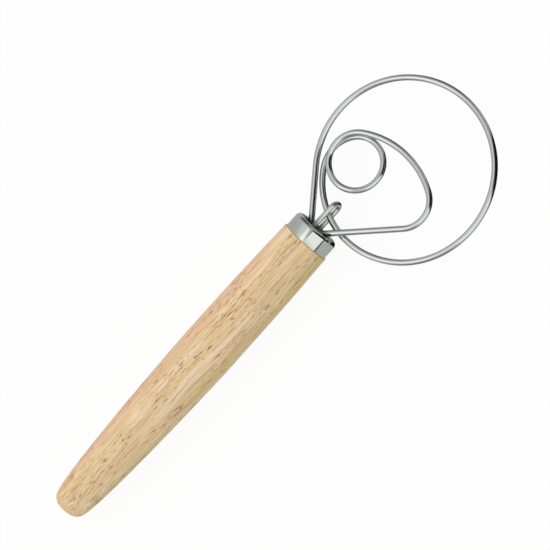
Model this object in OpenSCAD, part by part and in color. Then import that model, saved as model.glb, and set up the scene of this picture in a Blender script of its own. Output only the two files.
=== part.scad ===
// Dough whisk: a turned wooden handle, a steel ferrule and a head bent from one round wire.
// The handle lies along +X with its butt face at the origin. The head lies flat, in the XY plane.

/* [Handle] */
// Length of wood that shows, from the butt to the ferrule
handle_length = 160; // [140:0.5:180]
// Thickest diameter of the handle
belly_d = 24.9; // [24.4:0.1:30]
// Distance of the thickest place from the butt
belly_x = 96; // [80:1:110]
// Diameter of the wood where it meets the ferrule
neck_d = 23.4; // [22.8:0.1:24.4]
// Diameter of the flat on the butt
butt_flat_d = 5; // [4:0.2:8]
// Radius of the rounded edge around the butt
butt_edge_r = 5.4; // [4:0.1:6]
// Diameter of the hole that holds the wire ends
bore_d = 9.8; // [9.6:0.1:11]
// Depth of that hole from the wood's shoulder
bore_depth = 38; // [34:1:60]

/* [Ferrule] */
// Outside diameter of the ferrule
ferrule_d = 22; // [21:0.1:22.5]
// Length of the ferrule along the handle
ferrule_length = 8; // [6:0.1:12]
// Thickness of the sheet that the ferrule is drawn from
ferrule_wall = 0.8; // [0.5:0.1:1]
// Outer radius between the side of the ferrule and its end
ferrule_edge_r = 1.8; // [1.2:0.1:2.2]
// Diameter of the opening that the wires come out of
mouth_d = 13.8; // [13.2:0.1:15]
// Gap between the ferrule and the wood inside it
ferrule_fit = 0.05; // [0.02:0.01:0.1]

/* [Wire] */
// Diameter of the wire that the head is bent from
wire_d = 2.8; // [2.4:0.1:3]
// Outside diameter of the big loop
loop_d = 84.2; // [82:0.2:87]
// Distance of the big loop's middle from the front of the ferrule
loop_ahead = 44.9; // [43.5:0.1:47]
// How far the middle of the big loop lies to the side of the handle
loop_offset = 11.8; // [11:0.1:13]
// Outside diameter of the small ring
ring_d = 26.9; // [26:0.1:28]
// Distance of the ring's middle from the front of the ferrule
ring_ahead = 32.1; // [31:0.1:33]
// How far the ring's middle lies to the side of the handle
ring_offset = 6.7; // [6:0.1:7.4]
// How much smaller the radius is in the turn that leads from the big loop to the ring
turn_ease = 4.5; // [3.5:0.1:5.5]
// How much wider across the wire is bent where it passes over the ring again
cover_ease = 2; // [1.2:0.1:3.4]
// Outside diameter of the inner lobe's rounded nose
nose_d = 27.3; // [25:0.1:30]
// Distance of the nose's middle from the front of the ferrule
nose_ahead = 34.4; // [33:0.1:36]
// How far the nose's middle lies to the side of the handle
nose_offset = 21; // [19:0.1:22.5]
// How much flatter the lobe's flank is than the tightest arc from ring to nose
flank_ease = 13; // [8:0.5:15]
// Free space between two wires that cross
cross_gap = 0.2; // [0.1:0.05:0.3]

/* [Keeper] */
// Diameter of the keeper's wire
keeper_d = 2.4; // [2:0.1:2.6]
// Free space between the keeper and the loop's wire that it holds
keeper_gap = 0.15; // [0.1:0.05:0.3]
// Distance of the keeper's outer end from the front of the ferrule
keeper_reach = 14.7; // [13.5:0.1:16]
// How far the keeper leans over to its left
keeper_lean = 12; // [5:1:18]
// How far the keeper stands to the left of the handle's middle
keeper_offset = 0.8; // [0.3:0.1:0.9]
// Length of wire end inside the wood, from its shoulder
tang_length = 30; // [20:1:33]

/* [Adhesive] */
// Free space around each wire end in the adhesive
tang_fit = 0.02; // [0.01:0.01:0.05]

/* [Hidden] */
$fn = 64;

// Places along the handle
ferrule_front = handle_length + ferrule_length;
tenon_r = ferrule_d / 2 - ferrule_wall - ferrule_fit;
tenon_end = ferrule_front - ferrule_wall - ferrule_fit;
bore_end = handle_length - bore_depth;
tang_end = handle_length - tang_length;

// The handle's outline: its rise from the butt, and how far each curve keeps its direction
butt_rise = 21;
butt_pull = 9.6;
belly_pull_back = 12.5;
belly_pull_ahead = 54;
neck_pull = 12;
outline_steps = 12;
edge_steps = 8;
shoulder_bevel = 0.5;
tenon_bevel = 1.2;

// Radii of the wire's centreline, and half the height that two crossing wires take up
loop_r = (loop_d - wire_d) / 2;
turn_r = loop_r - turn_ease;
ring_r = (ring_d - wire_d) / 2;
nose_r = (nose_d - wire_d) / 2;
half_stack = (wire_d + cross_gap) / 2;

// The two wire ends: how far they lie beside the middle, and their bends in the mouth
end_spread = 2.75;
mouth_bend_r = 4.5;
mouth_bend_depth = 3.3;
bend_start = ferrule_front - mouth_bend_depth;

// Middle points of the round forms that the wire is bent around
loop_c = [ferrule_front + loop_ahead, -loop_offset];
ring_c = [ferrule_front + ring_ahead, ring_offset];
nose_c = [ferrule_front + nose_ahead, -nose_offset];
bend_a_c = [bend_start, end_spread + mouth_bend_r];
bend_b_c = [bend_start, -end_spread - mouth_bend_r];

// Where the loop tightens into the turn, and where the wire widens to pass over the ring
turn_start = -161;
cover_start = 160;

// How much wider than its tightest the lead into the ring is
lead_ease = 2.8;

// The arcs between them, each inside or around the next: the loop tightens into the turn,
// the turn through the lead into the ring, and the cover runs into the flank and the nose
turn_c = loop_c + turn_ease * [cos(turn_start), sin(turn_start)];
lead_r = (turn_r + ring_r - norm(ring_c - turn_c)) / 2 + lead_ease;
lead_c = blend_centre(ring_c, lead_r - ring_r, turn_c, turn_r - lead_r);
cover_r = ring_r + cover_ease / 2;
cover_c = ring_c - (cover_r - ring_r) * [cos(cover_start), sin(cover_start)];
flank_r = (norm(nose_c - cover_c) + cover_r + nose_r) / 2 + flank_ease;
flank_c = blend_centre(cover_c, flank_r - cover_r, nose_c, flank_r - nose_r);

// Degrees between the rings of points on wide arcs and on tight ones, and points around the wire
wide_step = 6;
tight_step = 10;
wire_sides = 16;

// Where the big loop starts to sink below the other wires. It has done so at the turn.
sink_start = -90;

// How far round the ring the wire starts to climb, and how far before the cover it has done so
climb_after = 75;
climb_before = 20;

// Height of the first wire end and of the loop's start
start_height = 0;

// The direction of v in the plane, in degrees
function angle_of(v) = atan2(v[1], v[0]);

// The same direction as a, less than a whole turn clockwise from the direction in "from"
function clockwise(a, from) = from - ((from - a) % 360 + 360) % 360;

// A smooth step from 0 to 1
function ease(t) = t * t * (3 - 2 * t);

// The point at distance d1 from c1 and d2 from c2, on the right of the way from c1 to c2
function blend_centre(c1, d1, c2, d2) =
    let (d = norm(c2 - c1))
    let (u = (c2 - c1) / d)
    let (along = (d * d + d1 * d1 - d2 * d2) / (2 * d))
    c1 + along * u + sqrt(max(0, d1 * d1 - along * along)) * [u[1], -u[0]];

// The place on a form where the straight wire from a bend in the mouth meets it,
// when the wire turns one way in the bend and the other way around the form
function meet_angle(bend_c, form_c, form_r, side) =
    angle_of(form_c - bend_c) + 180 + side * acos((mouth_bend_r + form_r) / norm(form_c - bend_c));

// Points on an arc from angle a to angle b, whose height goes smoothly from z1 to z2
function arc(c, r, a, b, step, z1, z2) =
    let (n = max(1, ceil(abs(b - a) / step)))
    [for (i = [0 : n]) let (w = a + (b - a) * i / n)
        [c[0] + r * cos(w), c[1] + r * sin(w), z1 + (z2 - z1) * ease(i / n)]];

// A list of points without its first one, which the arc before it ends on
function tail(points) = [for (i = [1 : len(points) - 1]) points[i]];

// Where each arc of the wire starts and ends. Round the head the wire always turns clockwise.
loop_start = meet_angle(bend_a_c, loop_c, loop_r, -1);
turn_leave = clockwise(angle_of(lead_c - turn_c), turn_start);
lead_leave = clockwise(angle_of(ring_c - lead_c), turn_leave);
climb_start = lead_leave - climb_after;
ring_leave = clockwise(cover_start, climb_start);
cover_leave = clockwise(angle_of(cover_c - flank_c), ring_leave);
flank_leave = clockwise(angle_of(nose_c - flank_c), cover_leave);
nose_leave = clockwise(meet_angle(bend_b_c, nose_c, nose_r, 1), flank_leave);
bend_a_leave = loop_start - 180;
bend_b_start = nose_leave + 180;

// The middle line of the whole wire, from one end in the handle to the other
whisk_path = concat(
    [[tang_end, end_spread, start_height]],
    arc(bend_a_c, mouth_bend_r, -90, clockwise(bend_a_leave, 180), tight_step, start_height, start_height),
    arc(loop_c, loop_r, loop_start, sink_start, wide_step, start_height, 0),
    tail(arc(loop_c, loop_r, sink_start, turn_start, wide_step, 0, -half_stack)),
    tail(arc(turn_c, turn_r, turn_start, turn_leave, wide_step, -half_stack, -half_stack)),
    tail(arc(lead_c, lead_r, turn_leave, lead_leave, tight_step, -half_stack, -half_stack)),
    tail(arc(ring_c, ring_r, lead_leave, climb_start, tight_step, -half_stack, -half_stack)),
    tail(arc(ring_c, ring_r, climb_start, ring_leave + climb_before, tight_step, -half_stack, half_stack)),
    tail(arc(ring_c, ring_r, ring_leave + climb_before, ring_leave, tight_step, half_stack, half_stack)),
    tail(arc(cover_c, cover_r, ring_leave, cover_leave, tight_step, half_stack, half_stack)),
    tail(arc(flank_c, flank_r, cover_leave, flank_leave, wide_step, half_stack, half_stack)),
    tail(arc(nose_c, nose_r, flank_leave, nose_leave, tight_step, half_stack, half_stack)),
    arc(bend_b_c, mouth_bend_r, clockwise(bend_b_start, 180), 90, tight_step, half_stack, half_stack),
    [[tang_end, -end_spread, half_stack]]
);

// The keeper: half the distance between its legs, where it stands in the handle, and its drop outside
leg_half = (wire_d + keeper_d) / 2 + keeper_gap;
leg_way = [0, sin(keeper_lean), cos(keeper_lean)];
keeper_end = ferrule_front + keeper_reach - keeper_d / 2 - leg_half;
drop_start = ferrule_front - 4;
drop_end = ferrule_front + 6;
drop_steps = 8;

// The middle between the keeper's legs at a place along the handle
function keeper_middle(x) =
    let (t = min(1, max(0, (x - drop_start) / (drop_end - drop_start))))
    [x, keeper_offset, -half_stack * ease(t)];

// One leg of the keeper on side s, from the handle outwards
function leg(s) = concat(
    [keeper_middle(tang_end) + s * leg_half * leg_way],
    [for (i = [0 : drop_steps])
        keeper_middle(drop_start + (drop_end - drop_start) * i / drop_steps) + s * leg_half * leg_way]
);

// The middle line of the keeper, up one leg, round its bend and back along the other
keeper_path = concat(
    leg(1),
    [for (w = [90 : -tight_step : -90])
        keeper_middle(keeper_end) + [leg_half * cos(w), 0, 0] + leg_half * sin(w) * leg_way],
    [for (i = [drop_steps + 1 : -1 : 0]) leg(-1)[i]]
);

// The direction of a path at its point i
function heading(path, i) =
    let (v = path[min(i + 1, len(path) - 1)] - path[max(i - 1, 0)])
    v / norm(v);

// A ring of points around a path at its point i, upright along "up"
function ring_of(path, i, r, up) =
    let (t = heading(path, i))
    let (side = cross(up, t) / norm(cross(up, t)))
    let (top = cross(t, side))
    [for (k = [0 : wire_sides - 1]) let (w = 360 * k / wire_sides)
        path[i] + r * cos(w) * side + r * sin(w) * top];

// A round wire along a path
module wire(path, d, up) {
    n = len(path);
    m = wire_sides;
    points = [for (i = [0 : n - 1]) each ring_of(path, i, d / 2, up)];
    sides = [for (i = [0 : n - 2]) for (k = [0 : m - 1])
        let (a = i * m + k)
        let (b = i * m + (k + 1) % m)
        each [[a, a + m, b], [b, a + m, b + m]]];
    polyhedron(points, concat([[for (k = [0 : m - 1]) k]], sides,
        [[for (k = [m - 1 : -1 : 0]) (n - 1) * m + k]]));
}

// Points on a smooth curve from p to s that leaves towards q and arrives from r
function curve(p, q, r, s) = [for (i = [0 : outline_steps]) let (t = i / outline_steps)
    p * pow(1 - t, 3) + q * 3 * t * pow(1 - t, 2) + r * 3 * t * t * (1 - t) + s * pow(t, 3)];

// The handle's outline above its axis, from the middle of the butt to the shoulder
function handle_outline() =
    let (edge_c = [butt_edge_r, butt_flat_d / 2])
    let (rise_start = edge_c + butt_edge_r * [-sin(butt_rise), cos(butt_rise)])
    let (rise_way = [cos(butt_rise), sin(butt_rise)])
    concat(
        [[0, 0]],
        [for (i = [0 : edge_steps - 1]) let (w = 180 - i * (90 - butt_rise) / edge_steps)
            edge_c + butt_edge_r * [cos(w), sin(w)]],
        curve(rise_start, rise_start + butt_pull * rise_way,
            [belly_x - belly_pull_back, belly_d / 2], [belly_x, belly_d / 2]),
        tail(curve([belly_x, belly_d / 2], [belly_x + belly_pull_ahead, belly_d / 2],
            [handle_length - shoulder_bevel - neck_pull, neck_d / 2],
            [handle_length - shoulder_bevel, neck_d / 2])),
        [[handle_length, neck_d / 2 - shoulder_bevel]]
    );

// Turns an outline, given as distance along the handle and radius, around the handle's axis
module turned(outline) {
    rotate([90, 0, 90])
        rotate_extrude()
            polygon([for (p = outline) [p[1], p[0]]]);
}

// The wood: the grip, the tenon inside the ferrule, and the bored hole with its flared mouth
module handle() {
    color("burlywood")
        turned(concat(
            handle_outline(),
            [
                [handle_length, tenon_r],
                [tenon_end - tenon_bevel, tenon_r],
                [tenon_end, tenon_r - tenon_bevel],
                [tenon_end, mouth_d / 2],
                [bend_start, bore_d / 2],
                [bore_end, bore_d / 2],
                [bore_end - bore_d / 4, 0]
            ]
        ));
}

// The ferrule: a drawn steel cap with a rounded edge and a round opening in its end
module ferrule() {
    edge_c = [ferrule_front - ferrule_edge_r, ferrule_d / 2 - ferrule_edge_r];
    inner_edge_r = ferrule_edge_r - ferrule_wall;
    color("silver")
        turned(concat(
            [[handle_length, ferrule_d / 2]],
            [for (w = [90 : -15 : 0]) edge_c + ferrule_edge_r * [cos(w), sin(w)]],
            [
                [ferrule_front, mouth_d / 2],
                [ferrule_front - ferrule_wall, mouth_d / 2]
            ],
            [for (w = [0 : 15 : 90]) edge_c + inner_edge_r * [cos(w), sin(w)]],
            [[handle_length, ferrule_d / 2 - ferrule_wall]]
        ));
}

// The one wire of the head: the big loop, the small ring and the inner lobe
module whisk_wire() {
    color("gainsboro")
        wire(whisk_path, wire_d, [0, 0, 1]);
}

// The keeper: a U of wire around the loop's wire, which holds the head flat to the handle
module keeper_wire() {
    color("lightgray")
        wire(keeper_path, keeper_d, [0, cos(keeper_lean), -sin(keeper_lean)]);
}

// A straight hole in the adhesive for a wire end at y and z
module tang_hole(d, y, z) {
    translate([tang_end, y, z])
        rotate([0, 90, 0])
            cylinder(h = bend_start - tang_end + 1, d = d + 2 * tang_fit);
}

// The cured adhesive that fills the bore around the wire ends
module adhesive_plug() {
    color("khaki")
        difference() {
            translate([bore_end, 0, 0])
                rotate([0, 90, 0])
                    cylinder(h = drop_start - bore_end, r = bore_d / 2);
            tang_hole(wire_d, end_spread, start_height);
            tang_hole(wire_d, -end_spread, half_stack);
            for (s = [-1, 1]) {
                place = keeper_middle(tang_end) + s * leg_half * leg_way;
                tang_hole(keeper_d, place[1], place[2]);
            }
        }
}

handle();
ferrule();
whisk_wire();
keeper_wire();
adhesive_plug();
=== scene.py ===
import math

import bpy
import numpy as np
from mathutils import Matrix


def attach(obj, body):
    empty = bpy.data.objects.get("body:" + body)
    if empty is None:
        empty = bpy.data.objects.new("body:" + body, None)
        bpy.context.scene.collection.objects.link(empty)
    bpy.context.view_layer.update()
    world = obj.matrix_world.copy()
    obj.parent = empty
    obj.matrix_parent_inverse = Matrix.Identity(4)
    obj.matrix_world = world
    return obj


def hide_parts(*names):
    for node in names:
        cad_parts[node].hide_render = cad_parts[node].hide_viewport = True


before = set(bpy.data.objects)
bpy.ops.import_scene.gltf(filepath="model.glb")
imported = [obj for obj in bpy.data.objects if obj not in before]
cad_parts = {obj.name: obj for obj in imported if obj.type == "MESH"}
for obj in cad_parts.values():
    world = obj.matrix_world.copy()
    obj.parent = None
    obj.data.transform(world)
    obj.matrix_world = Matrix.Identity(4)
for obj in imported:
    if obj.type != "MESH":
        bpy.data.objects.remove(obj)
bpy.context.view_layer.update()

bl_info = {
    "name": "Dough Whisk",
    "version": (1, 0, 0),
    "blender": (4, 5, 0),
    "location": "3D View > Sidebar > Whisk",
    "description": "A dough whisk with a turned wooden handle and a head of bent steel wire",
    "category": "Add Mesh",
}

MM = 0.001

# Where the long curves of the wire change, in degrees round the big loop and the small ring
TURN_START = -161
COVER_START = 160
SINK_START = -90
CLIMB_AFTER = 75
CLIMB_BEFORE = 20

# Degrees between the rings of points along the wires, and points around them
WIDE_STEP = 2.5
TIGHT_STEP = 4
WIRE_SIDES = 28


def length(name, description, value, low=0.0, high=1.0):
    """A size in metres, given in millimetres."""
    return bpy.props.FloatProperty(
        name=name, description=description, default=value * MM, min=low, max=high, unit="LENGTH"
    )


def amount(name, description, value, low=0.0, high=1.0):
    """A number without a unit."""
    return bpy.props.FloatProperty(name=name, description=description, default=value, min=low, max=high)


def angle(name, description, degrees):
    """An angle, given in degrees."""
    return bpy.props.FloatProperty(
        name=name, description=description, default=math.radians(degrees), subtype="ANGLE", unit="ROTATION"
    )


def direction(name, description, value):
    """A direction in the frame."""
    return bpy.props.FloatVectorProperty(
        name=name, description=description, default=value, size=3, subtype="DIRECTION"
    )


def colour(name, description, red, green, blue):
    """A colour, given as it looks on a screen, from 0 to 255."""
    return bpy.props.FloatVectorProperty(
        name=name,
        description=description,
        default=tuple(to_linear(v / 255) for v in (red, green, blue)),
        size=3,
        min=0.0,
        max=1.0,
        subtype="COLOR",
    )


def to_linear(value):
    """A screen value from 0 to 1 as a linear one."""
    return value / 12.92 if value <= 0.04045 else ((value + 0.055) / 1.055) ** 2.4


class WHISK_PG_handle(bpy.types.PropertyGroup):
    """Sizes and colours of the wooden handle."""

    length: length("Length", "Wood that shows, from the butt to the ferrule", 160)
    belly: length("Thickest diameter", "Diameter at the belly", 24.9)
    belly_at: length("Belly place", "Distance of the belly from the butt", 96)
    neck: length("Neck diameter", "Diameter at the ferrule", 23.4)
    butt_flat: length("Butt flat", "Diameter of the flat on the butt", 5)
    butt_edge: length("Butt edge", "Radius of the rounded edge round the butt", 5.4)
    butt_rise: angle("Butt rise", "Slope of the outline where the rounded edge ends", 21)
    bore: length("Bore", "Diameter of the hole for the wire ends", 9.8)
    bore_depth: length("Bore depth", "Depth of that hole from the shoulder", 38)
    shoulder: length("Shoulder bevel", "Softened edge of the wood beside the ferrule", 0.5)
    tenon_bevel: length("Tenon bevel", "Bevel at the front of the tenon", 1.2)
    honey: colour("Honey", "Colour of most of the wood", 232, 204, 157)
    cream: colour("Cream", "Colour of its palest bands", 242, 218, 184)
    rose: colour("Rose", "Colour of the rosy side", 238, 194, 160)
    olive: colour("Olive", "Colour of the yellower bands", 216, 195, 136)
    fleck: colour("Fleck", "Colour of the short dark pores", 136, 86, 42)


class WHISK_PG_ferrule(bpy.types.PropertyGroup):
    """Sizes and colour of the ferrule."""

    diameter: length("Diameter", "Outside diameter", 22)
    length: length("Length", "Length along the handle", 8)
    wall: length("Wall", "Thickness of the sheet", 0.8)
    edge: length("Edge radius", "Outer radius between side and end", 1.8)
    mouth: length("Mouth", "Diameter of the opening in the end", 13.8)
    fit: length("Fit", "Gap between the ferrule and the tenon", 0.05)
    lip: length("Lip radius", "Small radius on the cut edges", 0.2)
    steel: colour("Steel", "Colour of the polished steel", 222, 228, 221)


class WHISK_PG_wire(bpy.types.PropertyGroup):
    """Sizes and colour of the wire that the head is bent from."""

    diameter: length("Diameter", "Diameter of the wire", 2.8)
    loop: length("Loop", "Outside diameter of the big loop", 84.2)
    loop_ahead: length("Loop ahead", "Distance of the loop's middle from the ferrule", 44.9)
    loop_offset: length("Loop offset", "How far the loop's middle lies beside the handle", 11.8)
    ring: length("Ring", "Outside diameter of the small ring", 26.9)
    ring_ahead: length("Ring ahead", "Distance of the ring's middle from the ferrule", 32.1)
    ring_offset: length("Ring offset", "How far the ring's middle lies beside the handle", 6.7)
    turn_ease: length("Turn", "How much smaller the radius is in the turn to the ring", 4.5)
    lead_ease: length("Lead", "How much wider than its tightest the lead into the ring is", 2.8)
    cover_ease: length("Cover", "How much wider the wire is bent over the ring", 2)
    nose: length("Nose", "Outside diameter of the inner lobe's nose", 27.3)
    nose_ahead: length("Nose ahead", "Distance of the nose's middle from the ferrule", 34.4)
    nose_offset: length("Nose offset", "How far the nose's middle lies beside the handle", 21)
    flank_ease: length("Flank", "How much flatter than its tightest the lobe's flank is", 13)
    cross_gap: length("Crossing gap", "Free space between two wires that cross", 0.2)
    end_spread: length("End spread", "How far each end lies beside the middle of the bore", 2.75)
    mouth_bend: length("Mouth bend", "Radius of the bends in the mouth", 4.5)
    mouth_depth: length("Bend depth", "How far inside the mouth those bends start", 3.3)
    tang: length("Tang", "Length of wire end inside the wood", 30)
    steel: colour("Steel", "Colour of the polished wire", 222, 229, 226)


class WHISK_PG_keeper(bpy.types.PropertyGroup):
    """Sizes and colour of the keeper, a U of wire round the head's wire."""

    diameter: length("Diameter", "Diameter of its wire", 2.4)
    gap: length("Gap", "Free space between it and the wire that it holds", 0.15)
    reach: length("Reach", "Distance of its outer end from the ferrule", 14.7)
    lean: angle("Lean", "How far it leans over to its left", 12)
    offset: length("Offset", "How far it stands beside the handle's middle", 0.8)
    drop_before: length("Drop before", "How far inside the ferrule its drop starts", 4)
    drop_after: length("Drop after", "How far outside the ferrule its drop ends", 6)
    steel: colour("Steel", "Colour of the polished wire", 216, 222, 216)


class WHISK_PG_adhesive(bpy.types.PropertyGroup):
    """Size and colour of the cured adhesive round the wire ends."""

    below: length("Below", "How far its face lies inside the ferrule's front", 4)
    meniscus: length("Meniscus", "How far it creeps up the wall of the bore", 0.5)
    # The adhesive's own yellow-brown, darkened as painted shade for its place deep in the ferrule's mouth.
    shaded_amber: colour("Amber", "Colour of the cured adhesive", 70, 60, 44)


class WHISK_PG_stage(bpy.types.PropertyGroup):
    """The camera, the lamps and the studio that the steel reflects."""

    view: direction("View", "Direction from the whisk to the camera", (0.12, -0.295, 0.948))
    roll: angle("Roll", "Turn of the handle up from the picture's lower edge", 48.08)
    middle: length("Middle", "Place along the handle at the picture's middle", 139.87)
    aside: length("Aside", "Place beside the handle at the picture's middle", 0.2)
    distance: length("Distance", "Distance of the camera", 3000, high=10.0)
    picture: length("Picture width", "Width that the picture spans at the whisk", 241.07)
    sensor: bpy.props.FloatProperty(name="Sensor", description="Width of the sensor in mm", default=36.0)
    fill: amount("Fill", "Light from all round on dull surfaces", 0.8, high=2.0)
    key: amount("Key", "Power of the soft lamp in watts", 2.6, high=50.0)
    key_size: length("Key size", "Width of the soft lamp", 700, high=5.0)
    key_from: direction("Key from", "Direction from the whisk to the soft lamp", (-0.25, 0.45, 0.86))
    white: amount("White share", "Share of plain white in the floor that the camera sees", 0.93)


def unit(vector):
    """The vector, or each row of vectors, at length 1."""
    vector = np.asarray(vector, float)
    return vector / np.linalg.norm(vector, axis=-1, keepdims=True)


def bearing(vector):
    """The direction of a plane vector in degrees."""
    return math.degrees(math.atan2(vector[1], vector[0]))


def toward(degrees):
    """The plane unit vector in a direction given in degrees."""
    return np.array([math.cos(math.radians(degrees)), math.sin(math.radians(degrees))])


def clockwise(degrees, start):
    """The same direction as degrees, less than a whole turn clockwise from start."""
    return start - (start - degrees) % 360


def blend_centre(c1, d1, c2, d2):
    """The point at distance d1 from c1 and d2 from c2, on the right of the way from c1 to c2."""
    gap = np.linalg.norm(c2 - c1)
    way = (c2 - c1) / gap
    along = (gap * gap + d1 * d1 - d2 * d2) / (2 * gap)
    across = math.sqrt(max(0.0, d1 * d1 - along * along))
    return c1 + along * way + across * np.array([way[1], -way[0]])


def meet_angle(bend_c, bend_r, form_c, form_r, side):
    """Where the straight wire from a bend meets a round form that it turns round the other way."""
    reach = np.linalg.norm(form_c - bend_c)
    return bearing(form_c - bend_c) + 180 + side * math.degrees(math.acos((bend_r + form_r) / reach))


def arc(centre, radius, start, end, step, z1=0.0, z2=0.0):
    """Points on an arc: centre + radius * (cos, sin), with a height that goes smoothly from z1 to z2."""
    count = max(1, math.ceil(abs(end - start) / step))
    t = np.linspace(0.0, 1.0, count + 1)
    w = np.radians(start + (end - start) * t)
    height = z1 + (z2 - z1) * t * t * (3 - 2 * t)
    return np.stack([centre[0] + radius * np.cos(w), centre[1] + radius * np.sin(w), height], axis=1)


def bezier(p, q, r, s, count):
    """Points on the cubic curve from p to s that leaves towards q and arrives from r."""
    t = np.linspace(0.0, 1.0, count)[:, None]
    return p * (1 - t) ** 3 + q * 3 * t * (1 - t) ** 2 + r * 3 * t * t * (1 - t) + s * t**3


def corner(centre, radius, start, end, count=9):
    """Points of an outline round an edge: centre + radius * (cos, sin), angles in degrees."""
    w = np.radians(np.linspace(start, end, count))
    return np.stack([centre[0] + radius * np.cos(w), centre[1] + radius * np.sin(w)], axis=1)


def without_doubles(points):
    """The points without those that lie on the one before."""
    far = np.linalg.norm(np.diff(points, axis=0), axis=1) > 1e-7
    return points[np.concatenate([[True], far])]


def ferrule_front():
    """The place of the ferrule's front along the handle."""
    scene = bpy.context.scene
    return scene.whisk_handle.length + scene.whisk_ferrule.length


def head_path():
    """The middle line of the head's one wire, from one end in the handle to the other.

    Straight end, bend in the mouth, straight, big loop, turn, lead, small ring, cover, flank, nose,
    straight, bend in the mouth, straight end. Round the head it always turns clockwise, and each arc
    touches the next from inside or outside, so the wire has no kink."""
    s = bpy.context.scene.whisk_wire
    front = ferrule_front()
    start_x = front - s.mouth_depth
    tang_x = bpy.context.scene.whisk_handle.length - s.tang
    high = (s.diameter + s.cross_gap) / 2
    loop_r = (s.loop - s.diameter) / 2
    ring_r = (s.ring - s.diameter) / 2
    nose_r = (s.nose - s.diameter) / 2
    turn_r = loop_r - s.turn_ease
    loop_c = np.array([front + s.loop_ahead, -s.loop_offset])
    ring_c = np.array([front + s.ring_ahead, s.ring_offset])
    nose_c = np.array([front + s.nose_ahead, -s.nose_offset])
    bend_a = np.array([start_x, s.end_spread + s.mouth_bend])
    bend_b = np.array([start_x, -s.end_spread - s.mouth_bend])
    turn_c = loop_c + s.turn_ease * toward(TURN_START)
    lead_r = (turn_r + ring_r - np.linalg.norm(ring_c - turn_c)) / 2 + s.lead_ease
    lead_c = blend_centre(ring_c, lead_r - ring_r, turn_c, turn_r - lead_r)
    cover_r = ring_r + s.cover_ease / 2
    cover_c = ring_c - (cover_r - ring_r) * toward(COVER_START)
    flank_r = (np.linalg.norm(nose_c - cover_c) + cover_r + nose_r) / 2 + s.flank_ease
    flank_c = blend_centre(cover_c, flank_r - cover_r, nose_c, flank_r - nose_r)

    loop_start = meet_angle(bend_a, s.mouth_bend, loop_c, loop_r, -1)
    turn_leave = clockwise(bearing(lead_c - turn_c), TURN_START)
    lead_leave = clockwise(bearing(ring_c - lead_c), turn_leave)
    climb = lead_leave - CLIMB_AFTER
    ring_leave = clockwise(COVER_START, climb)
    cover_leave = clockwise(bearing(cover_c - flank_c), ring_leave)
    flank_leave = clockwise(bearing(nose_c - flank_c), cover_leave)
    nose_leave = clockwise(meet_angle(bend_b, s.mouth_bend, nose_c, nose_r, 1), flank_leave)
    parts = [
        np.array([[tang_x, s.end_spread, 0.0]]),
        arc(bend_a, s.mouth_bend, -90, clockwise(loop_start - 180, 180), TIGHT_STEP),
        arc(loop_c, loop_r, loop_start, SINK_START, WIDE_STEP),
        arc(loop_c, loop_r, SINK_START, TURN_START, WIDE_STEP, 0.0, -high),
        arc(turn_c, turn_r, TURN_START, turn_leave, WIDE_STEP, -high, -high),
        arc(lead_c, lead_r, turn_leave, lead_leave, TIGHT_STEP, -high, -high),
        arc(ring_c, ring_r, lead_leave, climb, TIGHT_STEP, -high, -high),
        arc(ring_c, ring_r, climb, ring_leave + CLIMB_BEFORE, TIGHT_STEP, -high, high),
        arc(ring_c, ring_r, ring_leave + CLIMB_BEFORE, ring_leave, TIGHT_STEP, high, high),
        arc(cover_c, cover_r, ring_leave, cover_leave, TIGHT_STEP, high, high),
        arc(flank_c, flank_r, cover_leave, flank_leave, WIDE_STEP, high, high),
        arc(nose_c, nose_r, flank_leave, nose_leave, TIGHT_STEP, high, high),
        arc(bend_b, s.mouth_bend, clockwise(nose_leave + 180, 180), 90, TIGHT_STEP, high, high),
        np.array([[tang_x, -s.end_spread, high]]),
    ]
    return without_doubles(np.concatenate(parts))


def keeper_path():
    """The middle line of the keeper: along one leg, round a half circle, and back along the other.

    Outside the ferrule both legs drop by a smooth step, so that the U lies round the lower wire."""
    scene = bpy.context.scene
    s = scene.whisk_keeper
    w = scene.whisk_wire
    front = ferrule_front()
    tang_x = scene.whisk_handle.length - w.tang
    half = (w.diameter + s.diameter) / 2 + s.gap
    drop = (w.diameter + w.cross_gap) / 2
    way = np.array([0.0, math.sin(s.lean), math.cos(s.lean)])
    end_x = front + s.reach - s.diameter / 2 - half
    first = front - s.drop_before
    last = front + s.drop_after

    def middle(x):
        t = np.clip((x - first) / (last - first), 0.0, 1.0)
        return np.stack([x, np.full_like(x, s.offset), -drop * t * t * (3 - 2 * t)], axis=1)

    along = np.concatenate([[tang_x], np.linspace(first, last, 25)])
    leg = middle(along)
    turn = np.radians(np.linspace(90.0, -90.0, 33))
    bend = middle(np.full_like(turn, end_x))
    bend = bend + half * np.cos(turn)[:, None] * np.array([1.0, 0.0, 0.0])
    bend = bend + half * np.sin(turn)[:, None] * way
    return without_doubles(np.concatenate([leg + half * way, bend, (leg - half * way)[::-1]]))


def add_piece(name, points, faces, uv, node, slot, material):
    """A smooth mesh piece that stands for a node of the frame. uv holds one pair per face corner."""
    mesh = bpy.data.meshes.new(name)
    mesh.from_pydata(points.tolist(), [], faces)
    layer = mesh.uv_layers.new(name="UVMap")
    layer.data.foreach_set("uv", uv.astype(np.float32).ravel())
    mesh.polygons.foreach_set("use_smooth", np.ones(len(faces), bool))
    mesh.materials.append(material)
    mesh.update()
    if mesh.validate(verbose=False):
        raise RuntimeError(f"{name} had faces that Blender refused")
    piece = bpy.data.objects.new(name, mesh)
    bpy.context.scene.collection.objects.link(piece)
    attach(piece, "root")
    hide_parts(node)
    return piece


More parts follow.
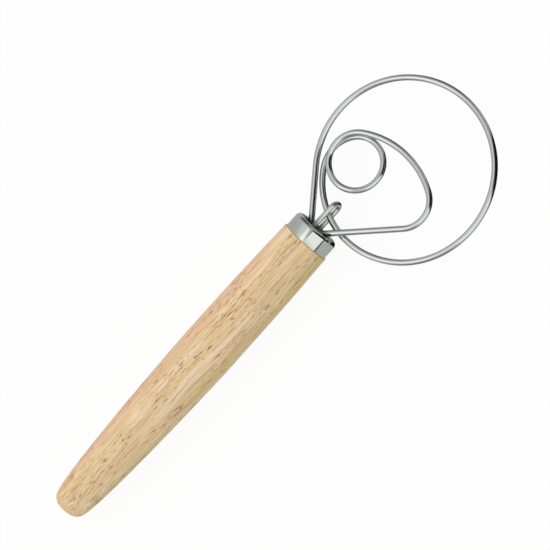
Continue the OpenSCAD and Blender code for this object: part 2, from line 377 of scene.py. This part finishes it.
def closed_grid(rings, first, last, lengths):
    """Faces and uv of a tube of rings, with a pole at each end.

    rings is rows x columns x 3. Ring i, column k is point i * columns + k, then come the two poles.
    u is the length along the tube in metres and v the share of a turn round it."""
    rows, columns = rings.shape[:2]
    i, k = np.meshgrid(np.arange(rows - 1), np.arange(columns), indexing="ij")
    a = (i * columns + k).ravel()
    b = (i * columns + (k + 1) % columns).ravel()
    quads = np.stack([a, b, b + columns, a + columns], axis=1)
    u1 = lengths[i.ravel()]
    u2 = lengths[i.ravel() + 1]
    v1 = (k / columns).ravel()
    v2 = ((k + 1) / columns).ravel()
    quad_uv = np.stack([u1, v1, u1, v2, u2, v2, u2, v1], axis=1).reshape(-1, 2)
    pole = rows * columns
    ring = np.arange(columns)
    after = (ring + 1) % columns
    near = np.stack([np.full(columns, pole), after, ring], axis=1)
    end = (rows - 1) * columns
    far = np.stack([np.full(columns, pole + 1), end + ring, end + after], axis=1)
    near_uv = np.stack([lengths[[0] * columns], ring / columns] * 3, axis=1).reshape(-1, 2)
    far_uv = np.stack([lengths[[-1] * columns], ring / columns] * 3, axis=1).reshape(-1, 2)
    points = np.concatenate([rings.reshape(-1, 3), first[None], last[None]])
    faces = quads.tolist() + near.tolist() + far.tolist()
    return points, faces, np.concatenate([quad_uv, near_uv, far_uv])


def wire_surface(path, radius, up):
    """A round wire: at each point of the path, a circle square to it.

    The circle is path + radius * (cos w * side + sin w * top), with side = up x heading and
    top = heading x side."""
    heading = unit(np.gradient(path, axis=0))
    side = unit(np.cross(up, heading))
    top = np.cross(heading, side)
    w = np.linspace(0.0, 2 * np.pi, WIRE_SIDES, endpoint=False)[None, :, None]
    rings = path[:, None] + radius * (np.cos(w) * side[:, None] + np.sin(w) * top[:, None])
    steps = np.linalg.norm(np.diff(path, axis=0), axis=1)
    return closed_grid(rings, path[0], path[-1], np.concatenate([[0.0], np.cumsum(steps)]))


def turned_surface(outline, columns):
    """A turned form: the outline of (x, radius) carried round the X axis.

    The point is (x, radius * cos w, radius * sin w). Its first and last points lie on the axis."""
    inner = outline[1:-1]
    w = np.linspace(0.0, 2 * np.pi, columns, endpoint=False)[None, :]
    x = np.repeat(inner[:, :1], columns, axis=1)
    rings = np.stack([x, inner[:, 1:] * np.cos(w), inner[:, 1:] * np.sin(w)], axis=2)
    steps = np.linalg.norm(np.diff(inner, axis=0), axis=1)
    first = np.array([outline[0, 0], 0.0, 0.0])
    last = np.array([outline[-1, 0], 0.0, 0.0])
    return closed_grid(rings, first, last, np.concatenate([[0.0], np.cumsum(steps)]))


def turned_ring(outline, columns):
    """A turned form with a hole: the closed outline of (x, radius) carried round the X axis."""
    rows = len(outline)
    w = np.linspace(0.0, 2 * np.pi, columns, endpoint=False)[None, :]
    x = np.repeat(outline[:, :1], columns, axis=1)
    rings = np.stack([x, outline[:, 1:] * np.cos(w), outline[:, 1:] * np.sin(w)], axis=2)
    i, k = np.meshgrid(np.arange(rows), np.arange(columns), indexing="ij")
    after = (i + 1) % rows
    a = (i * columns + k).ravel()
    b = (i * columns + (k + 1) % columns).ravel()
    c = (after * columns + (k + 1) % columns).ravel()
    d = (after * columns + k).ravel()
    closed = np.concatenate([outline, outline[:1]])
    lengths = np.concatenate([[0.0], np.cumsum(np.linalg.norm(np.diff(closed, axis=0), axis=1))])
    u1 = lengths[i.ravel()]
    u2 = lengths[i.ravel() + 1]
    v1 = (k / columns).ravel()
    v2 = ((k + 1) / columns).ravel()
    uv = np.stack([u1, v1, u1, v2, u2, v2, u2, v1], axis=1).reshape(-1, 2)
    return rings.reshape(-1, 3), np.stack([a, b, c, d], axis=1).tolist(), uv


def handle_outline():
    """The wood's outline of (x, radius): butt, grip, shoulder, tenon, flared mouth and bore.

    The grip is two cubic curves that meet level at the belly, after a rounded edge round the butt."""
    s = bpy.context.scene.whisk_handle
    f = bpy.context.scene.whisk_ferrule
    w = bpy.context.scene.whisk_wire
    belly = np.array([s.belly_at, s.belly / 2])
    edge_c = np.array([s.butt_edge, s.butt_flat / 2])
    rise_way = np.array([math.cos(s.butt_rise), math.sin(s.butt_rise)])
    rise = edge_c + s.butt_edge * np.array([-rise_way[1], rise_way[0]])
    neck = np.array([s.length - s.shoulder, s.neck / 2])
    ahead = np.array([1.0, 0.0])
    tenon_r = f.diameter / 2 - f.wall - f.fit
    tenon_x = s.length + f.length - f.wall - f.fit
    start_x = s.length + f.length - w.mouth_depth
    bore_x = s.length - s.bore_depth
    parts = [
        [[0.0, 0.0]],
        corner(edge_c, s.butt_edge, 180, 90 + math.degrees(s.butt_rise), 17),
        bezier(rise, rise + 9.6 * MM * rise_way, belly - 12.5 * MM * ahead, belly, 60),
        bezier(belly, belly + 54 * MM * ahead, neck - 12 * MM * ahead, neck, 50),
        corner(neck - [0.0, s.shoulder], s.shoulder, 90, 0, 7),
        [
            [s.length, tenon_r],
            [tenon_x - s.tenon_bevel, tenon_r],
            [tenon_x, tenon_r - s.tenon_bevel],
            [tenon_x, f.mouth / 2],
            [start_x, s.bore / 2],
            [bore_x, s.bore / 2],
            [bore_x - s.bore / 4, 0.0],
        ],
    ]
    return without_doubles(np.concatenate([np.asarray(p, float) for p in parts]))


def ferrule_outline():
    """The ferrule's closed outline of (x, radius), outside first, with small radii on the cut edges."""
    f = bpy.context.scene.whisk_ferrule
    start = bpy.context.scene.whisk_handle.length
    front = ferrule_front()
    outer = f.diameter / 2
    edge_c = np.array([front - f.edge, outer - f.edge])
    parts = [
        corner([start + f.lip, outer - f.lip], f.lip, 180, 90, 5),
        corner(edge_c, f.edge, 90, 0, 15),
        corner([front - f.lip, f.mouth / 2 + f.lip], f.lip, 0, -90, 5),
        corner([front - f.wall + f.lip, f.mouth / 2 + f.lip], f.lip, -90, -180, 5),
        corner(edge_c, f.edge - f.wall, 0, 90, 9),
        [[start + f.lip, outer - f.wall], [start, outer - f.wall + f.lip]],
    ]
    return without_doubles(np.concatenate([np.asarray(p, float) for p in parts]))


class Value:
    """A socket whose sums add the nodes that work them out."""

    def __init__(self, tree, socket):
        self.tree = tree
        self.socket = socket

    def math(self, operation, *others):
        """The Math node of that operation on this value and the others."""
        sockets = dict(enumerate((self, *others)))
        return self.tree.add("ShaderNodeMath", {"operation": operation}, sockets).value(0)

    def __add__(self, other):
        return self.math("ADD", other)

    def __sub__(self, other):
        return self.math("SUBTRACT", other)

    def __mul__(self, other):
        return self.math("MULTIPLY", other)

    def __rsub__(self, other):
        return (self * -1) + other

    def __abs__(self):
        return self.math("ABSOLUTE")

    __radd__ = __add__
    __rmul__ = __mul__


class Node:
    """A node whose outputs are taken as values."""

    def __init__(self, tree, node):
        self.tree = tree
        self.node = node

    def value(self, output):
        """One output, by name or number."""
        return Value(self.tree, self.node.outputs[output])


class Tree:
    """The node tree of a material or the world."""

    def __init__(self, owner):
        owner.use_nodes = True
        self.nodes = owner.node_tree.nodes
        self.links = owner.node_tree.links
        self.nodes.clear()

    def add(self, kind, settings=None, sockets=None):
        """A node of that kind. Its settings come first, then the values or links of its sockets."""
        node = self.nodes.new(kind)
        for name, setting in (settings or {}).items():
            setattr(node, name, setting)
        for name, given in (sockets or {}).items():
            if isinstance(given, Value):
                self.links.new(given.socket, node.inputs[name])
            else:
                node.inputs[name].default_value = given
        return Node(self, node)

    def smooth(self, value, low, high):
        """A smooth step from 0 at low to 1 at high."""
        sockets = {"Value": value, "From Min": low, "From Max": high}
        return self.add("ShaderNodeMapRange", {"interpolation_type": "SMOOTHSTEP"}, sockets).value(0)

    def mix(self, share, first, second):
        """The first colour where share is 0, the second where it is 1."""
        sockets = {0: share, 6: first, 7: second}
        return self.add("ShaderNodeMix", {"data_type": "RGBA"}, sockets).value(2)

    def stretched(self, vector, x, y, z):
        """The vector with each of its parts multiplied."""
        sockets = {0: vector, 1: (x, y, z)}
        return self.add("ShaderNodeVectorMath", {"operation": "MULTIPLY"}, sockets).value(0)

    def noise(self, vector, detail=2.0, rough=0.5, distortion=0.0):
        """Noise from 0 to 1."""
        sockets = {
            "Vector": vector,
            "Scale": 1.0,
            "Detail": detail,
            "Roughness": rough,
            "Distortion": distortion,
        }
        return self.add("ShaderNodeTexNoise", None, sockets).value("Fac")

    def surface(self, shader, kind="ShaderNodeOutputMaterial"):
        """Ends the tree in this shader."""
        self.add(kind, None, {"Surface": shader})


def rgba(shade):
    """A colour property with a full alpha."""
    return (*shade, 1.0)


def wood_material():
    """Pale, straight-grained wood. The grain runs along X: every noise is stretched along it.

    Bands of honey, cream and olive, a rosy side, fine fibres and short dark pores, and painted shade on the wood
    inside the ferrule's mouth."""
    s = bpy.context.scene.whisk_handle
    material = bpy.data.materials.new("pale_wood")
    tree = Tree(material)
    place = tree.add("ShaderNodeTexCoord").value("Object")
    sway = tree.noise(tree.stretched(place, 14, 40, 40), detail=1.0)
    bent = tree.add(
        "ShaderNodeVectorMath",
        {"operation": "ADD"},
        {0: place, 1: tree.add("ShaderNodeCombineXYZ", None, {"Y": sway * 0.004, "Z": sway * 0.003}).value(0)},
    ).value(0)
    across = tree.add("ShaderNodeSeparateXYZ", None, {0: bent})
    bands = tree.noise(tree.stretched(bent, 8, 260, 260), detail=3.0)
    broad = tree.noise(tree.stretched(bent, 9, 110, 110), detail=2.0)
    fibres = tree.noise(tree.stretched(bent, 48, 1500, 1500), detail=2.0, rough=0.6)
    streaks = tree.noise(tree.stretched(bent, 40, 900, 900), detail=2.0)
    pores = tree.noise(tree.stretched(bent, 250, 1700, 1700), detail=1.0)
    crowd = tree.noise(tree.stretched(bent, 30, 220, 220), detail=1.0)
    rosy = tree.smooth(across.value("Y") + (broad - 0.5) * 0.03 + (streaks - 0.5) * 0.02, 0.001, 0.012)
    pale = tree.smooth(bands, 0.46, 0.66)
    dull = tree.smooth(broad, 0.48, 0.64)
    shade = tree.mix(pale, rgba(s.honey), rgba(s.cream))
    shade = tree.mix(dull * 0.75, shade, rgba(s.olive))
    shade = tree.mix(rosy * 0.75, shade, rgba(s.rose))
    fibre = tree.smooth(fibres, 0.36, 0.72)
    shade = tree.mix(fibre * 0.30, shade, rgba(s.fleck))
    streak = tree.smooth(streaks, 0.57, 0.70)
    shade = tree.mix(streak * 0.34, shade, rgba(s.fleck))
    pore = tree.smooth(pores, 0.59, 0.68) * tree.smooth(crowd, 0.36, 0.56)
    shade = tree.mix(pore * 0.70, shade, rgba(s.fleck))
    # Painted shade: the wood deep in the ferrule's mouth is darkened nearly to black, using a dark copy of the
    # fleck colour.
    mouth = tree.smooth(across.value("X"), 0.1664, 0.1668)
    shade = tree.mix(mouth * 0.8, shade, rgba([v * 0.15 for v in s.fleck]))
    height = 1 - (pore * 0.8 + fibre * 0.12 + streak * 0.15)
    bump = tree.add(
        "ShaderNodeBump", None, {"Strength": 0.5, "Distance": 0.06 * MM, "Height": height}
    ).value(0)
    shader = tree.add(
        "ShaderNodeBsdfPrincipled",
        None,
        {
            "Base Color": shade,
            "Roughness": 0.5 + fibres * 0.16 + pore * 0.2,
            "Specular IOR Level": 0.3,
            "Normal": bump,
        },
    )
    tree.surface(shader.value(0))
    return material


def steel_material(name, shade, roughness, draw, shade_edge_x=0.0):
    """Polished steel with faint lines from drawing, long along u, and light handling marks.

    It is painted darker, as shade, inside the ferrule's mouth: below a place along X that the last argument
    gives, fading out within a few millimetres past it."""
    material = bpy.data.materials.new(name)
    tree = Tree(material)
    place = tree.add("ShaderNodeTexCoord")
    lines = tree.noise(tree.stretched(place.value("UV"), 90, 60, 1), detail=2.0)
    marks = tree.noise(tree.stretched(place.value("Object"), 260, 260, 260), detail=3.0)
    worn = tree.smooth(marks, 0.5, 0.8)
    colour_of = tree.mix(lines * 0.3 + worn * 0.2, rgba(shade), rgba([v * 0.86 for v in shade]))
    if shade_edge_x:
        along = tree.add("ShaderNodeSeparateXYZ", None, {0: place.value("Object")}).value("X")
        # Painted shade: the wire is darkened nearly to black inside the ferrule's mouth and for a few
        # millimetres outside it.
        mouth_shade = 1 - tree.smooth(along, shade_edge_x - 0.5 * MM, shade_edge_x + 3.5 * MM)
        colour_of = tree.mix(mouth_shade * 0.9, colour_of, rgba([v * 0.08 for v in shade]))
    bump = tree.add(
        "ShaderNodeBump", None, {"Strength": draw, "Distance": 0.01 * MM, "Height": lines + marks * 0.5}
    ).value(0)
    shader = tree.add(
        "ShaderNodeBsdfPrincipled",
        None,
        {
            "Base Color": colour_of,
            "Metallic": 1.0,
            "Roughness": roughness + lines * 0.04 + worn * 0.05,
            "Normal": bump,
        },
    )
    tree.surface(shader.value(0))
    return material


def adhesive_material():
    """Cured adhesive: a dull yellow-brown darkened with painted shade for its place deep in the ferrule's mouth,
    cloudy, with a slightly uneven face.
    """
    s = bpy.context.scene.whisk_adhesive
    material = bpy.data.materials.new("cured_adhesive")
    tree = Tree(material)
    place = tree.add("ShaderNodeTexCoord").value("Object")
    cloud = tree.noise(tree.stretched(place, 700, 700, 700), detail=3.0)
    shade = tree.mix(tree.smooth(cloud, 0.35, 0.7), rgba(s.shaded_amber), rgba([v * 0.6 for v in s.shaded_amber]))
    bump = tree.add("ShaderNodeBump", None, {"Strength": 0.6, "Distance": 0.2 * MM, "Height": cloud}).value(0)
    shader = tree.add(
        "ShaderNodeBsdfPrincipled",
        None,
        {"Base Color": shade, "Roughness": 0.35 + cloud * 0.3, "Normal": bump},
    )
    tree.surface(shader.value(0))
    return material


def picture_axes():
    """The picture's right and up, and the direction to the camera, as unit vectors of the frame."""
    s = bpy.context.scene.whisk_stage
    back = unit(s.view)
    along = unit(np.array([1.0, 0.0, 0.0]) - back[0] * back)
    across = np.cross(back, along)
    right = math.cos(s.roll) * along - math.sin(s.roll) * across
    up = math.sin(s.roll) * along + math.cos(s.roll) * across
    return right, up, back


def studio_world():
    """The studio: white for the camera, even light on dull surfaces, and panels for the steel.

    A glossy ray sees grey all round, with a bright window on the picture's left, a bright panel that
    the ferrule faces, thin dark lines beside it, dark above and below, and a black card on the right."""
    s = bpy.context.scene.whisk_stage
    right, up, back = picture_axes()
    beside = unit(0.668 * up - 0.744 * right)
    world = bpy.data.worlds.new("studio")
    tree = Tree(world)
    ray = tree.add("ShaderNodeLightPath")
    sight = tree.add("ShaderNodeTexCoord").value("Generated")

    def part(axis):
        sockets = {0: sight, 1: tuple(axis)}
        return tree.add("ShaderNodeVectorMath", {"operation": "DOT_PRODUCT"}, sockets).value("Value")

    facing = part(back)
    to_right = part(right)
    to_up = part(up)
    to_side = part(beside)
    to_front = part(np.cross(beside, back))
    open_side = tree.smooth(facing, 0.3, 0.6)
    panel = open_side * (1 - tree.smooth(to_side, 0.09, 0.20)) * (1 - tree.smooth(abs(to_front), 0.30, 0.50))
    window = tree.smooth(-1 * to_right, 0.34, 0.48) * (1 - tree.smooth(-1 * to_right, 0.74, 0.86))
    window = window * (1 - tree.smooth(abs(to_up), 0.36, 0.66)) * tree.smooth(facing, 0.0, 0.3)
    window = window * (1 - tree.smooth(to_side, 0.45, 0.62) * 0.7)
    beyond = abs(to_up - 0.12 - facing * 0.12) - to_right * 0.36
    card = tree.smooth(to_right, -0.08, 0.12) * (1 - tree.smooth(beyond, 0.05, 0.20))
    rim = 1 - tree.smooth(abs(to_side + 0.87), 0.02, 0.05)
    line = (1 - tree.smooth(abs(to_side - 0.15), 0.02, 0.06)) * (1 - tree.smooth(abs(to_front), 0.2, 0.4))
    edges = tree.smooth(abs(to_up), 0.80, 0.94) * 0.66
    front = tree.smooth(to_front, 0.62, 0.72) * (1 - tree.smooth(to_front, 0.88, 0.96)) * 0.6
    level = 0.48 + tree.smooth(facing, -0.5, 0.5) * 0.04
    level = level * (1 - window) + window * 1.2
    level = level * (1 - edges) * (1 - front)
    level = level * (1 - panel) + panel * 1.05
    level = level * (1 - card * 0.985) * (1 - rim * tree.smooth(facing, 0.2, 0.4) * 0.9)
    level = level * (1 - line * open_side * 0.85)
    glossy = ray.value("Is Glossy Ray")
    seen = ray.value("Is Camera Ray")
    dull = (1 - glossy) * (1 - seen)
    shader = tree.add(
        "ShaderNodeBackground", None, {"Color": (1, 1, 1, 1), "Strength": seen + glossy * level + dull * s.fill}
    )
    tree.surface(shader.value(0), "ShaderNodeOutputWorld")
    bpy.context.scene.world = world


def floor_material():
    """A white floor. The camera sees mostly plain white, with a share that keeps the soft shadow."""
    s = bpy.context.scene.whisk_stage
    material = bpy.data.materials.new("white_floor")
    tree = Tree(material)
    seen = tree.add("ShaderNodeLightPath").value("Is Camera Ray")
    paint = tree.add("ShaderNodeBsdfDiffuse", None, {"Color": (0.9, 0.9, 0.9, 1)})
    white = tree.add("ShaderNodeEmission", None, {"Color": (1, 1, 1, 1), "Strength": 1.0})
    shader = tree.add(
        "ShaderNodeMixShader", None, {0: seen * s.white, 1: paint.value(0), 2: white.value(0)}
    )
    tree.surface(shader.value(0))
    return material


def add_floor(height):
    """A level square floor at that height."""
    half = 4.0
    corners = [(-half, -half, height), (half, -half, height), (half, half, height), (-half, half, height)]
    mesh = bpy.data.meshes.new("floor")
    mesh.from_pydata(corners, [], [(0, 1, 2, 3)])
    mesh.materials.append(floor_material())
    floor = bpy.data.objects.new("floor", mesh)
    bpy.context.scene.collection.objects.link(floor)
    floor.visible_glossy = False


def placed(data, name, axes, place):
    """An object for a camera or a lamp, with those three axes, at that place."""
    item = bpy.data.objects.new(name, data)
    turn = np.eye(4)
    turn[:3, :3] = np.stack(axes, axis=1)
    turn[:3, 3] = place
    item.matrix_world = Matrix(turn.tolist())
    bpy.context.scene.collection.objects.link(item)
    return item


def add_camera():
    """The camera, far off on the photograph's line of sight, with the lens that frames the whisk."""
    s = bpy.context.scene.whisk_stage
    right, up, back = picture_axes()
    data = bpy.data.cameras.new("camera")
    data.sensor_fit = "HORIZONTAL"
    data.sensor_width = s.sensor
    data.lens = s.sensor * s.distance / s.picture
    place = np.array([s.middle, s.aside, 0.0]) + s.distance * back
    bpy.context.scene.camera = placed(data, "camera", (right, up, back), place)


def add_lamp():
    """One large soft lamp above the whisk."""
    s = bpy.context.scene.whisk_stage
    back = unit(s.key_from)
    right = unit(np.cross([0.0, 1.0, 0.0], back))
    data = bpy.data.lights.new("soft_lamp", "AREA")
    data.size = s.key_size
    data.energy = s.key
    lamp = placed(data, "soft_lamp", (right, np.cross(back, right), back), np.array([s.middle, 0.0, 0.0]) + back)
    lamp.visible_glossy = False


class WHISK_OT_handle(bpy.types.Operator):
    """Add the turned wooden handle"""

    bl_idname = "whisk.add_handle"
    bl_label = "Handle"

    def execute(self, context):
        points, faces, uv = turned_surface(handle_outline(), 96)
        add_piece("turned_handle", points, faces, uv, "handle", "wood", wood_material())
        return {"FINISHED"}


class WHISK_OT_ferrule(bpy.types.Operator):
    """Add the drawn steel ferrule"""

    bl_idname = "whisk.add_ferrule"
    bl_label = "Ferrule"

    def execute(self, context):
        points, faces, uv = turned_ring(ferrule_outline(), 128)
        steel = steel_material("ferrule_steel", context.scene.whisk_ferrule.steel, 0.09, 0.10)
        add_piece("drawn_ferrule", points, faces, uv, "ferrule", "ferrule_steel", steel)
        return {"FINISHED"}


class WHISK_OT_wires(bpy.types.Operator):
    """Add the head's wire and the keeper that holds it"""

    bl_idname = "whisk.add_wires"
    bl_label = "Wires"

    def execute(self, context):
        scene = context.scene
        wire = scene.whisk_wire
        keeper = scene.whisk_keeper
        # For the wire and the keeper, the last argument places the painted shade in the ferrule's mouth.
        steel = steel_material("wire_steel", wire.steel, 0.10, 0.15, ferrule_front())
        made = wire_surface(head_path(), wire.diameter / 2, np.array([0.0, 0.0, 1.0]))
        add_piece("head_wire", *made, "whisk_wire", "wire_steel", steel)
        steel = steel_material("keeper_steel", keeper.steel, 0.14, 0.2, ferrule_front())
        up = np.array([0.0, math.cos(keeper.lean), -math.sin(keeper.lean)])
        made = wire_surface(keeper_path(), keeper.diameter / 2, up)
        add_piece("keeper_loop", *made, "keeper_wire", "keeper_steel", steel)
        return {"FINISHED"}


class WHISK_OT_adhesive(bpy.types.Operator):
    """Add the cured adhesive round the wire ends"""

    bl_idname = "whisk.add_adhesive"
    bl_label = "Adhesive"

    def execute(self, context):
        handle = context.scene.whisk_handle
        s = context.scene.whisk_adhesive
        radius = handle.bore / 2
        back_x = handle.length - handle.bore_depth
        face_x = ferrule_front() - s.below
        share = np.linspace(1.0, 0.0, 14)
        face = np.stack([face_x - s.meniscus * (1 - share**6), radius * share], axis=1)
        outline = np.concatenate([[[back_x, 0.0], [back_x, radius]], face])
        points, faces, uv = turned_surface(outline, 64)
        add_piece("adhesive_fill", points, faces, uv, "adhesive_plug", "adhesive", adhesive_material())
        return {"FINISHED"}


class WHISK_OT_stage(bpy.types.Operator):
    """Add the floor, the studio, the lamp and the camera"""

    bl_idname = "whisk.add_stage"
    bl_label = "Stage"

    def execute(self, context):
        studio_world()
        add_floor(-context.scene.whisk_handle.belly / 2)
        add_lamp()
        add_camera()
        context.scene.view_settings.view_transform = "Standard"
        return {"FINISHED"}


class WHISK_PT_panel(bpy.types.Panel):
    """The whisk's pieces and their sizes"""

    bl_idname = "WHISK_PT_panel"
    bl_label = "Dough Whisk"
    bl_space_type = "VIEW_3D"
    bl_region_type = "UI"
    bl_category = "Whisk"

    def draw(self, context):
        for operator, group in STEPS:
            box = self.layout.box()
            box.operator(operator.bl_idname)
            for name in group.__annotations__:
                box.prop(getattr(context.scene, GROUPS[group]), name)


GROUPS = {
    WHISK_PG_handle: "whisk_handle",
    WHISK_PG_ferrule: "whisk_ferrule",
    WHISK_PG_wire: "whisk_wire",
    WHISK_PG_keeper: "whisk_keeper",
    WHISK_PG_adhesive: "whisk_adhesive",
    WHISK_PG_stage: "whisk_stage",
}
STEPS = (
    (WHISK_OT_handle, WHISK_PG_handle),
    (WHISK_OT_ferrule, WHISK_PG_ferrule),
    (WHISK_OT_wires, WHISK_PG_wire),
    (WHISK_OT_adhesive, WHISK_PG_adhesive),
    (WHISK_OT_stage, WHISK_PG_stage),
)
CLASSES = (*GROUPS, *(operator for operator, _ in STEPS), WHISK_PT_panel)


def register():
    """Adds the classes, and each group of sizes to the scene."""
    for kind in CLASSES:
        bpy.utils.register_class(kind)
    for group, name in GROUPS.items():
        setattr(bpy.types.Scene, name, bpy.props.PointerProperty(type=group))


def unregister():
    """Takes away what register added."""
    for name in GROUPS.values():
        delattr(bpy.types.Scene, name)
    for kind in reversed(CLASSES):
        bpy.utils.unregister_class(kind)


def main():
    """Builds the whisk and its stage."""
    register()
    bpy.ops.whisk.add_handle()
    bpy.ops.whisk.add_ferrule()
    bpy.ops.whisk.add_wires()
    bpy.ops.whisk.add_adhesive()
    bpy.ops.whisk.add_stage()


if __name__ == "__main__":
    main()
